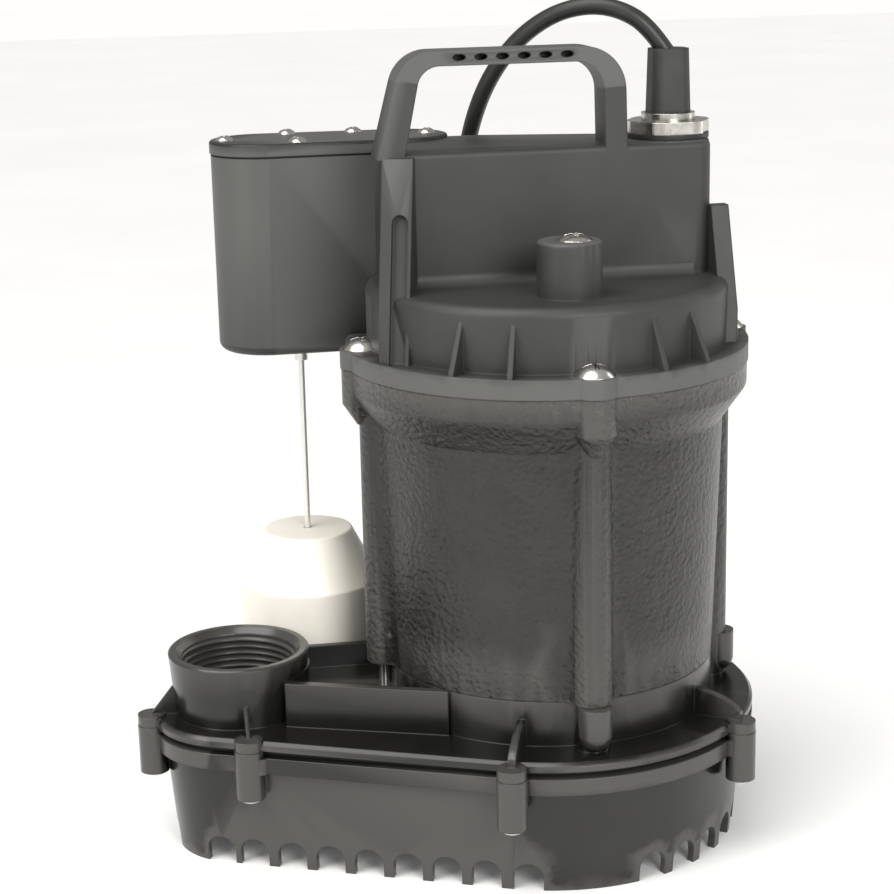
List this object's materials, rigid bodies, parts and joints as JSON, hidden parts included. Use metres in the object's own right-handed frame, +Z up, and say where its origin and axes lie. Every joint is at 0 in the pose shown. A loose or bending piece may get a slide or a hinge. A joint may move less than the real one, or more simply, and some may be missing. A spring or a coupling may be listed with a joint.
{
  "type": "submersible sump pump",
  "caption": "Submersible pit pump with a slotted strainer base, side discharge collar, ribbed motor housing, handled cap and a float that slides on a rod under its switch box.",
  "frame": {"origin": "on the motor axis at the level of the feet, the middle of the suction opening", "axes": "+Z up along the motor axis, +X from the discharge side towards the cord side, +Y to the back"},
  "size_m": [0.2792, 0.3292, 0.3515],
  "materials": {
    "base_plastic": "satin moulded black",
    "cap_plastic": "matt moulded charcoal",
    "switch_plastic": "matt moulded charcoal",
    "housing_iron": "black paint over rough casting",
    "seal_rubber": "black rubber",
    "cord_rubber": "smooth black jacket",
    "screw_steel": "bright stainless",
    "rod_steel": "drawn stainless",
    "machined_steel": "machined",
    "lamination_steel": "stacked laminations",
    "rotor_aluminium": "cast",
    "winding_copper": "enamelled copper",
    "bearing_bronze": "sintered bronze",
    "plug_brass": "plated brass",
    "seal_ceramic": "ground ceramic",
    "impeller_plastic": "glass filled plastic",
    "float_plastic": "cream foam plastic",
    "switch_case": "black phenolic",
    "capacitor_can": "drawn can"
  },
  "bodies": {
    "pump": {"base_gasket": "seal_rubber", "base_screws": "screw_steel", "bearing_bracket": "machined_steel", "cap": "cap_plastic", "cap_bolts": "screw_steel", "cap_boss_screw": "screw_steel", "cap_gasket": "seal_rubber", "capacitor": "capacitor_can", "capacitor_clip": "machined_steel", "component_tray": "cap_plastic", "cord_boot": "seal_rubber", "cord_coil": "cord_rubber", "cord_plug": "cord_rubber", "cord_tie": "cord_rubber", "gland_body": "screw_steel", "gland_gasket": "seal_rubber", "gland_nut": "screw_steel", "gland_ring": "screw_steel", "lead_wires": "cord_rubber", "lever_pin": "machined_steel", "lower_bearing": "bearing_bronze", "micro_switch": "switch_case", "motor_housing": "housing_iron", "motor_screws": "screw_steel", "plug_blades": "plug_brass", "power_cord": "cord_rubber", "rod_guide": "cap_plastic", "seal_seat": "seal_ceramic", "stator_core": "lamination_steel", "stator_winding": "winding_copper", "strainer_base": "base_plastic", "suction_plate": "base_plastic", "switch_bracket": "machined_steel", "switch_housing": "switch_plastic", "switch_lid": "switch_plastic", "switch_lid_gasket": "seal_rubber", "switch_lid_screws": "screw_steel", "switch_mount_screws": "screw_steel", "switch_screws": "screw_steel", "terminal_block": "switch_case", "thermal_protector": "switch_case", "upper_bearing": "bearing_bronze", "volute_housing": "base_plastic"},
    "rotor": {"shaft": "machined_steel", "rotor_core": "lamination_steel", "rotor_end_rings": "rotor_aluminium", "thrust_washer": "machined_steel", "seal_head": "machined_steel", "impeller": "impeller_plastic", "impeller_nut": "machined_steel"},
    "rod": {"float_rod": "rod_steel", "rod_collar": "rod_steel", "rod_washer": "rod_steel", "float_clip": "rod_steel"},
    "float": {"float": "float_plastic"},
    "lever": {"switch_lever": "machined_steel"},
    "plunger": {"switch_plunger": "switch_case"}
  },
  "joints": [
    {"name": "rotor_spin", "type": "hinge", "parent": "pump", "child": "rotor", "pos_m": [0, 0, 0.1], "axis": [0, 0, 1], "continuous": true},
    {"name": "rod_lift", "type": "slide", "parent": "pump", "child": "rod", "axis": [0, 0, 1], "range_m": [0, 0.005]},
    {"name": "float_slide", "type": "slide", "parent": "rod", "child": "float", "axis": [0, 0, 1], "range_m": [0, 0.0765]},
    {"name": "lever_tilt", "type": "hinge", "parent": "pump", "child": "lever", "pos_m": [-0.066, 0.058, 0.2416], "axis": [0, 1, 0], "range_deg": [0, 9.5]},
    {"name": "plunger_press", "type": "slide", "parent": "pump", "child": "plunger", "axis": [0, 0, 1], "range_m": [0, 0.0024]}
  ],
  "couplings": [
    {"joint": "lever_tilt", "follows": "rod_lift", "rad_per_m": 33},
    {"joint": "plunger_press", "follows": "rod_lift", "ratio": 0.466}
  ]
}
